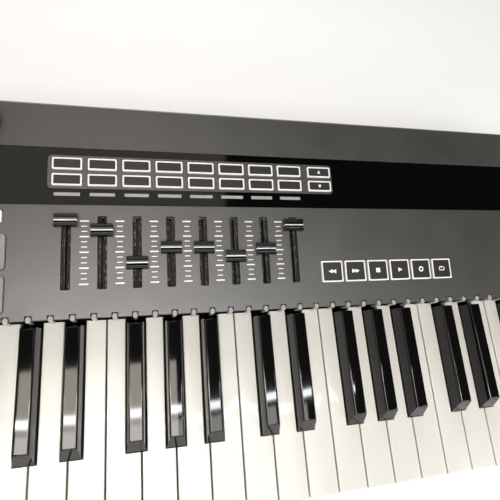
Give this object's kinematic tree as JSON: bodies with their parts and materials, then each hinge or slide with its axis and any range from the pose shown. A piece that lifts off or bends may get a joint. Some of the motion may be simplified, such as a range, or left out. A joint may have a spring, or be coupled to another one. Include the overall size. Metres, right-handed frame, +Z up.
{
  "type": "midi keyboard",
  "caption": "Wide controller keyboard with hinged white and black keys, slide faders, rotary knobs, pads, pitch and modulation wheels, and a gloss strip across its sloping panel.",
  "frame": {"origin": "on the table, under the middle of the case", "axes": "+X to the player's right along the keys, +Y to the rear, +Z up"},
  "size_m": [0.981, 0.3, 0.1028],
  "materials": {
    "case_grey": "fine matte, slightly warm dark grey",
    "case_black": "fine texture",
    "screw_steel": "black zinc",
    "foot_rubber": "matt",
    "gloss_black": "polished",
    "display_glass": "polished, unlit",
    "keybed_black": "satin",
    "red_felt": "felt",
    "spring_steel": "bright",
    "circuit_board": "solder mask",
    "dome_rubber": "matt",
    "light_guide": "frosted, translucent",
    "dust_felt": "felt",
    "socket_black": "satin",
    "rocker_black": "satin gloss",
    "wheel_rubber": "soft touch",
    "pad_rubber": "soft touch",
    "button_white": "translucent silicone, dark painted cap",
    "white_key": "semi gloss",
    "black_key": "gloss",
    "fader_black": "gloss",
    "knob_black": "soft touch"
  },
  "bodies": {
    "case": {"bottom_case": "case_black", "top_case": "case_grey", "case_screws": "screw_steel", "rubber_feet": "foot_rubber", "gloss_strip": "gloss_black", "displays": "display_glass", "keybed_frame": "keybed_black", "key_felts": "red_felt", "key_springs": "spring_steel", "contact_board": "circuit_board", "contact_strip": "dome_rubber", "light_guides": "light_guide", "control_board": "circuit_board", "main_board": "circuit_board", "fader_dust_felts": "dust_felt", "fader_bodies": "keybed_black", "encoder_bodies": "keybed_black", "wheel_bracket": "keybed_black", "jack_sockets": "socket_black", "data_sockets": "socket_black"},
    "key_c4": {"key_c4": "white_key"},
    "key_cs4": {"key_cs4": "black_key"},
    "key_d4": {"key_d4": "white_key"},
    "key_ds4": {"key_ds4": "black_key"},
    "key_e4": {"key_e4": "white_key"},
    "key_f4": {"key_f4": "white_key"},
    "key_fs4": {"key_fs4": "black_key"},
    "key_g4": {"key_g4": "white_key"},
    "key_gs4": {"key_gs4": "black_key"},
    "key_a4": {"key_a4": "white_key"},
    "key_as4": {"key_as4": "black_key"},
    "key_b4": {"key_b4": "white_key"},
    "white_keys_low": {"white_keys_low": "white_key"},
    "black_keys_low": {"black_keys_low": "black_key"},
    "white_keys_high": {"white_keys_high": "white_key"},
    "black_keys_high": {"black_keys_high": "black_key"},
    "fader_cap_1": {"fader_cap_1": "fader_black"},
    "fader_cap_2": {"fader_cap_2": "fader_black"},
    "fader_cap_3": {"fader_cap_3": "fader_black"},
    "fader_cap_4": {"fader_cap_4": "fader_black"},
    "fader_cap_5": {"fader_cap_5": "fader_black"},
    "fader_cap_6": {"fader_cap_6": "fader_black"},
    "fader_cap_7": {"fader_cap_7": "fader_black"},
    "fader_cap_8": {"fader_cap_8": "fader_black"},
    "knob_1": {"knob_1": "knob_black"},
    "knob_2": {"knob_2": "knob_black"},
    "knob_3": {"knob_3": "knob_black"},
    "knob_4": {"knob_4": "knob_black"},
    "knob_5": {"knob_5": "knob_black"},
    "knob_6": {"knob_6": "knob_black"},
    "knob_7": {"knob_7": "knob_black"},
    "knob_8": {"knob_8": "knob_black"},
    "pitch_wheel": {"pitch_wheel": "wheel_rubber"},
    "mod_wheel": {"mod_wheel": "wheel_rubber"},
    "power_switch": {"power_switch": "rocker_black"},
    "pads": {"pads": "pad_rubber"},
    "soft_buttons": {"soft_buttons": "button_white"},
    "transport_buttons": {"transport_buttons": "button_white"},
    "display_buttons": {"display_buttons": "button_white"},
    "function_buttons": {"function_buttons": "button_white"}
  },
  "joints": [
    {"name": "key_c4_hinge", "type": "hinge", "parent": "case", "child": "key_c4", "pos_m": [0, 0.045, 0.05], "axis": [1, 0, 0], "range_deg": [0, 2.9], "stiffness_Nm_per_rad": 0.6, "springref_deg": -10.31},
    {"name": "key_cs4_hinge", "type": "hinge", "parent": "case", "child": "key_cs4", "pos_m": [0, 0.045, 0.05], "axis": [1, 0, 0], "range_deg": [0, 2.9], "stiffness_Nm_per_rad": 0.6, "springref_deg": -10.31},
    {"name": "key_d4_hinge", "type": "hinge", "parent": "case", "child": "key_d4", "pos_m": [0, 0.045, 0.05], "axis": [1, 0, 0], "range_deg": [0, 2.9], "stiffness_Nm_per_rad": 0.6, "springref_deg": -10.31},
    {"name": "key_ds4_hinge", "type": "hinge", "parent": "case", "child": "key_ds4", "pos_m": [0, 0.045, 0.05], "axis": [1, 0, 0], "range_deg": [0, 2.9], "stiffness_Nm_per_rad": 0.6, "springref_deg": -10.31},
    {"name": "key_e4_hinge", "type": "hinge", "parent": "case", "child": "key_e4", "pos_m": [0, 0.045, 0.05], "axis": [1, 0, 0], "range_deg": [0, 2.9], "stiffness_Nm_per_rad": 0.6, "springref_deg": -10.31},
    {"name": "key_f4_hinge", "type": "hinge", "parent": "case", "child": "key_f4", "pos_m": [0, 0.045, 0.05], "axis": [1, 0, 0], "range_deg": [0, 2.9], "stiffness_Nm_per_rad": 0.6, "springref_deg": -10.31},
    {"name": "key_fs4_hinge", "type": "hinge", "parent": "case", "child": "key_fs4", "pos_m": [0, 0.045, 0.05], "axis": [1, 0, 0], "range_deg": [0, 2.9], "stiffness_Nm_per_rad": 0.6, "springref_deg": -10.31},
    {"name": "key_g4_hinge", "type": "hinge", "parent": "case", "child": "key_g4", "pos_m": [0, 0.045, 0.05], "axis": [1, 0, 0], "range_deg": [0, 2.9], "stiffness_Nm_per_rad": 0.6, "springref_deg": -10.31},
    {"name": "key_gs4_hinge", "type": "hinge", "parent": "case", "child": "key_gs4", "pos_m": [0, 0.045, 0.05], "axis": [1, 0, 0], "range_deg": [0, 2.9], "stiffness_Nm_per_rad": 0.6, "springref_deg": -10.31},
    {"name": "key_a4_hinge", "type": "hinge", "parent": "case", "child": "key_a4", "pos_m": [0, 0.045, 0.05], "axis": [1, 0, 0], "range_deg": [0, 2.9], "stiffness_Nm_per_rad": 0.6, "springref_deg": -10.31},
    {"name": "key_as4_hinge", "type": "hinge", "parent": "case", "child": "key_as4", "pos_m": [0, 0.045, 0.05], "axis": [1, 0, 0], "range_deg": [0, 2.9], "stiffness_Nm_per_rad": 0.6, "springref_deg": -10.31},
    {"name": "key_b4_hinge", "type": "hinge", "parent": "case", "child": "key_b4", "pos_m": [0, 0.045, 0.05], "axis": [1, 0, 0], "range_deg": [0, 2.9], "stiffness_Nm_per_rad": 0.6, "springref_deg": -10.31},
    {"name": "white_keys_low_hinge", "type": "hinge", "parent": "case", "child": "white_keys_low", "pos_m": [0, 0.045, 0.05], "axis": [1, 0, 0], "range_deg": [0, 2.9], "stiffness_Nm_per_rad": 12.6, "springref_deg": -10.31},
    {"name": "black_keys_low_hinge", "type": "hinge", "parent": "case", "child": "black_keys_low", "pos_m": [0, 0.045, 0.05], "axis": [1, 0, 0], "range_deg": [0, 2.9], "stiffness_Nm_per_rad": 9, "springref_deg": -10.31},
    {"name": "white_keys_high_hinge", "type": "hinge", "parent": "case", "child": "white_keys_high", "pos_m": [0, 0.045, 0.05], "axis": [1, 0, 0], "range_deg": [0, 2.9], "stiffness_Nm_per_rad": 4.8, "springref_deg": -10.31},
    {"name": "black_keys_high_hinge", "type": "hinge", "parent": "case", "child": "black_keys_high", "pos_m": [0, 0.045, 0.05], "axis": [1, 0, 0], "range_deg": [0, 2.9], "stiffness_Nm_per_rad": 3, "springref_deg": -10.31},
    {"name": "fader_1_slide", "type": "slide", "parent": "case", "child": "fader_cap_1", "axis": [0, 0.9954, 0.0958], "range_m": [-0.0447, 0.0003]},
    {"name": "fader_2_slide", "type": "slide", "parent": "case", "child": "fader_cap_2", "axis": [0, 0.9954, 0.0958], "range_m": [-0.0376, 0.0074]},
    {"name": "fader_3_slide", "type": "slide", "parent": "case", "child": "fader_cap_3", "axis": [0, 0.9954, 0.0958], "range_m": [-0.0138, 0.0312]},
    {"name": "fader_4_slide", "type": "slide", "parent": "case", "child": "fader_cap_4", "axis": [0, 0.9954, 0.0958], "range_m": [-0.0247, 0.0203]},
    {"name": "fader_5_slide", "type": "slide", "parent": "case", "child": "fader_cap_5", "axis": [0, 0.9954, 0.0958], "range_m": [-0.0244, 0.0206]},
    {"name": "fader_6_slide", "type": "slide", "parent": "case", "child": "fader_cap_6", "axis": [0, 0.9954, 0.0958], "range_m": [-0.0175, 0.0275]},
    {"name": "fader_7_slide", "type": "slide", "parent": "case", "child": "fader_cap_7", "axis": [0, 0.9954, 0.0958], "range_m": [-0.0229, 0.0221]},
    {"name": "fader_8_slide", "type": "slide", "parent": "case", "child": "fader_cap_8", "axis": [0, 0.9954, 0.0958], "range_m": [-0.0416, 0.0034]},
    {"name": "knob_1_turn", "type": "hinge", "parent": "case", "child": "knob_1", "pos_m": [-0.282, 0.12535, 0.08898], "axis": [0, -0.0958, 0.9954], "continuous": true},
    {"name": "knob_2_turn", "type": "hinge", "parent": "case", "child": "knob_2", "pos_m": [-0.249, 0.12535, 0.08898], "axis": [0, -0.0958, 0.9954], "continuous": true},
    {"name": "knob_3_turn", "type": "hinge", "parent": "case", "child": "knob_3", "pos_m": [-0.216, 0.12535, 0.08898], "axis": [0, -0.0958, 0.9954], "continuous": true},
    {"name": "knob_4_turn", "type": "hinge", "parent": "case", "child": "knob_4", "pos_m": [-0.183, 0.12535, 0.08898], "axis": [0, -0.0958, 0.9954], "continuous": true},
    {"name": "knob_5_turn", "type": "hinge", "parent": "case", "child": "knob_5", "pos_m": [-0.15, 0.12535, 0.08898], "axis": [0, -0.0958, 0.9954], "continuous": true},
    {"name": "knob_6_turn", "type": "hinge", "parent": "case", "child": "knob_6", "pos_m": [-0.117, 0.12535, 0.08898], "axis": [0, -0.0958, 0.9954], "continuous": true},
    {"name": "knob_7_turn", "type": "hinge", "parent": "case", "child": "knob_7", "pos_m": [-0.084, 0.12535, 0.08898], "axis": [0, -0.0958, 0.9954], "continuous": true},
    {"name": "knob_8_turn", "type": "hinge", "parent": "case", "child": "knob_8", "pos_m": [-0.051, 0.12535, 0.08898], "axis": [0, -0.0958, 0.9954], "continuous": true},
    {"name": "pitch_bend", "type": "hinge", "parent": "case", "child": "pitch_wheel", "pos_m": [-0.453, -0.075, 0.044], "axis": [1, 0, 0], "range_deg": [-30, 30], "stiffness_Nm_per_rad": 0.12},
    {"name": "mod_turn", "type": "hinge", "parent": "case", "child": "mod_wheel", "pos_m": [-0.407, -0.075, 0.044], "axis": [1, 0, 0], "range_deg": [-46, 0]},
    {"name": "power_rock", "type": "hinge", "parent": "case", "child": "power_switch", "pos_m": [0.275, 0.145, 0.039], "axis": [1, 0, 0], "range_deg": [-16, 0]},
    {"name": "pads_press", "type": "slide", "parent": "case", "child": "pads", "axis": [0, 0.0958, -0.9954], "range_m": [0, 0.0008], "stiffness_N_per_m": 8000, "springref_m": -0.0006},
    {"name": "soft_buttons_press", "type": "slide", "parent": "case", "child": "soft_buttons", "axis": [0, 0.0958, -0.9954], "range_m": [0, 0.0009], "stiffness_N_per_m": 2400, "springref_m": -0.0006},
    {"name": "transport_buttons_press", "type": "slide", "parent": "case", "child": "transport_buttons", "axis": [0, 0.0958, -0.9954], "range_m": [0, 0.0009], "stiffness_N_per_m": 1400, "springref_m": -0.0006},
    {"name": "display_buttons_press", "type": "slide", "parent": "case", "child": "display_buttons", "axis": [0, 0.0958, -0.9954], "range_m": [0, 0.0009], "stiffness_N_per_m": 1200, "springref_m": -0.0006},
    {"name": "function_buttons_press", "type": "slide", "parent": "case", "child": "function_buttons", "axis": [0, 0.0958, -0.9954], "range_m": [0, 0.0009], "stiffness_N_per_m": 1600, "springref_m": -0.0006}
  ]
}
